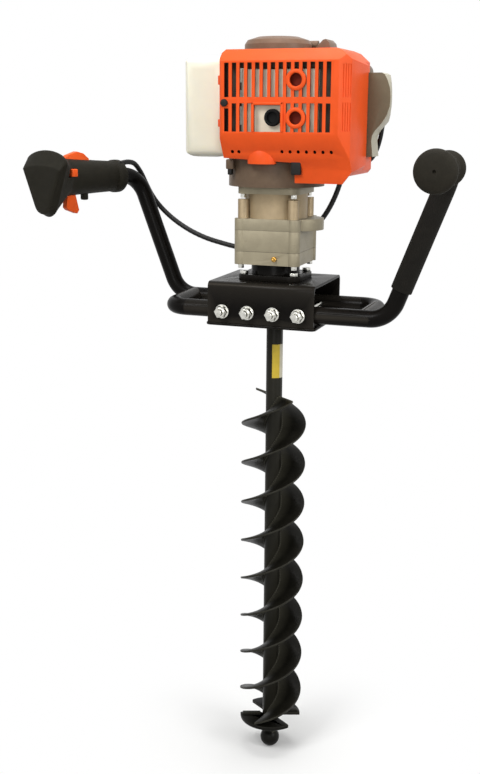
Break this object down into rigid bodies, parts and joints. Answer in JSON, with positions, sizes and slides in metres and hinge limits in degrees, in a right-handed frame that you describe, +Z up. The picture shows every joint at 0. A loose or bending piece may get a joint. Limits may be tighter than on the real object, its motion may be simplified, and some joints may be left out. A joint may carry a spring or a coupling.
{
  "type": "earth auger",
  "caption": "Hand-held petrol earth auger: spiral bit under a bracket with bent tube handles, reduction gearbox, upright two-stroke engine with recoil starter and throttle grip.",
  "frame": {"origin": "lowest point of the tip, on the drive axis", "axes": "+Z up along the drive axis, -Y towards the muffler side with the grille, +X towards the spark plug and the right grip"},
  "size_m": [0.6454, 0.3302, 1.1285],
  "materials": {
    "black_paint": "gloss",
    "zinc": "bright zinc",
    "grip_black": "matt",
    "grip_plastic": "matt",
    "orange_plastic": "satin",
    "black_sleeve": "satin",
    "cast_alloy": "as cast",
    "steel": "machined",
    "brass": "plain",
    "gray_plastic": "satin",
    "dark_plastic": "satin",
    "dark_steel": "black",
    "cream": "translucent",
    "rope": "braided"
  },
  "bodies": {
    "frame": {"bracket_channel": "black_paint", "bracket_plate": "black_paint", "clamp_bolts": "zinc", "clamp_nuts": "zinc", "left_handle": "black_paint", "right_handle": "black_paint", "arm_sleeve": "grip_black", "right_grip": "grip_black", "throttle_grip_outer": "grip_plastic", "throttle_grip_inner": "grip_plastic", "trigger_pins": "steel", "throttle_cable": "black_sleeve", "gearbox_foot": "black_paint", "foot_bolts": "zinc", "gearcase_lower": "cast_alloy", "gearcase_middle": "cast_alloy", "gearcase_upper": "cast_alloy", "gearbox_bolts": "zinc", "grease_nipple": "brass", "ball_bearings": "steel", "fan_case": "gray_plastic", "crankcase": "cast_alloy", "cylinder": "cast_alloy", "spark_plug": "zinc", "plug_lead": "black_sleeve", "plug_cover": "gray_plastic", "ignition_coil": "dark_plastic", "muffler": "steel", "carburettor": "cast_alloy", "air_filter_base": "dark_plastic", "air_filter_element": "black_sleeve", "air_filter_cover": "gray_plastic", "fuel_tank": "cream", "recoil_housing": "gray_plastic", "engine_cowl": "orange_plastic", "cover_screws": "dark_steel"},
    "auger": {"auger_tube": "black_paint", "auger_flight": "black_paint", "cutter_blades": "black_paint", "auger_tip": "black_paint", "drive_pin": "zinc", "output_shaft": "steel", "output_gear": "steel"},
    "idler": {"idler_gear": "steel"},
    "drum": {"clutch_drum": "steel"},
    "crank": {"crankshaft": "steel", "flywheel_fan": "cast_alloy", "clutch_shoes": "steel"},
    "piston": {"piston": "cast_alloy"},
    "rod": {"connecting_rod": "steel"},
    "trigger": {"throttle_trigger": "orange_plastic"},
    "lock": {"throttle_lock": "orange_plastic"},
    "switch": {"stop_switch": "orange_plastic"},
    "throttle": {"throttle_arm": "steel"},
    "choke": {"choke_lever": "dark_plastic"},
    "primer": {"primer_bulb": "cream"},
    "cap": {"fuel_cap": "dark_plastic"},
    "pulley": {"starter_pulley": "dark_plastic"},
    "puller": {"starter_handle": "gray_plastic", "starter_rope": "rope"}
  },
  "joints": [
    {"name": "auger_spin", "type": "hinge", "parent": "frame", "child": "auger", "pos_m": [0, 0, 0.4], "axis": [0, 0, 1], "continuous": true},
    {"name": "idler_spin", "type": "hinge", "parent": "frame", "child": "idler", "pos_m": [0.03375, 0, 0.85], "axis": [0, 0, 1], "continuous": true},
    {"name": "drum_spin", "type": "hinge", "parent": "frame", "child": "drum", "pos_m": [0, 0, 0.88], "axis": [0, 0, 1], "continuous": true},
    {"name": "crank_spin", "type": "hinge", "parent": "frame", "child": "crank", "pos_m": [0, 0, 1], "axis": [0, 0, 1], "continuous": true},
    {"name": "piston_slide", "type": "slide", "parent": "frame", "child": "piston", "axis": [1, 0, 0], "range_m": [-0.034, 0]},
    {"name": "rod_swing", "type": "hinge", "parent": "piston", "child": "rod", "pos_m": [0.079, 0, 1.04], "axis": [0, 0, 1], "range_deg": [-15.9, 15.9]},
    {"name": "throttle_trigger", "type": "hinge", "parent": "frame", "child": "trigger", "pos_m": [-0.2964, -0.08301, 0.9205], "axis": [0.9466, -0.3223, 0], "range_deg": [0, 20], "stiffness_Nm_per_rad": 0.3, "springref_deg": -11.46},
    {"name": "throttle_lock", "type": "hinge", "parent": "frame", "child": "lock", "pos_m": [-0.30027, -0.09437, 0.9405], "axis": [0.9466, -0.3223, 0], "range_deg": [-8, 0], "stiffness_Nm_per_rad": 0.3, "springref_deg": 11.46},
    {"name": "stop_switch", "type": "slide", "parent": "frame", "child": "switch", "axis": [-0.3223, -0.9466, 0], "range_m": [0, 0.006]},
    {"name": "throttle_arm", "type": "hinge", "parent": "frame", "child": "throttle", "pos_m": [0.071, 0.064, 1.014], "axis": [0, 0, 1], "range_deg": [0, 60]},
    {"name": "choke_lever", "type": "hinge", "parent": "frame", "child": "choke", "pos_m": [0.071, 0.078, 1.062], "axis": [0, 0, 1], "range_deg": [-75, 0]},
    {"name": "primer_press", "type": "slide", "parent": "frame", "child": "primer", "axis": [-1, 0, 0], "range_m": [0, 0.0055], "stiffness_N_per_m": 400},
    {"name": "fuel_cap_turn", "type": "hinge", "parent": "frame", "child": "cap", "pos_m": [-0.095, 0.08, 1.066], "axis": [0, 1, 0], "range_deg": [0, 360]},
    {"name": "starter_pull", "type": "slide", "parent": "frame", "child": "puller", "axis": [1, 0, 0], "range_m": [0, 0.6], "stiffness_N_per_m": 8, "springref_m": -0.4, "deforming": ["starter_rope"]},
    {"name": "starter_pulley", "type": "hinge", "parent": "frame", "child": "pulley", "pos_m": [0, 0, 1.117], "axis": [0, 0, 1], "range_deg": [-1325, 0]}
  ],
  "couplings": [
    {"joint": "idler_spin", "follows": "auger_spin", "ratio": -4.4},
    {"joint": "drum_spin", "follows": "auger_spin", "ratio": 19.36},
    {"joint": "throttle_arm", "follows": "throttle_trigger", "ratio": 3},
    {"joint": "starter_pulley", "follows": "starter_pull", "rad_per_m": -38.462}
  ]
}
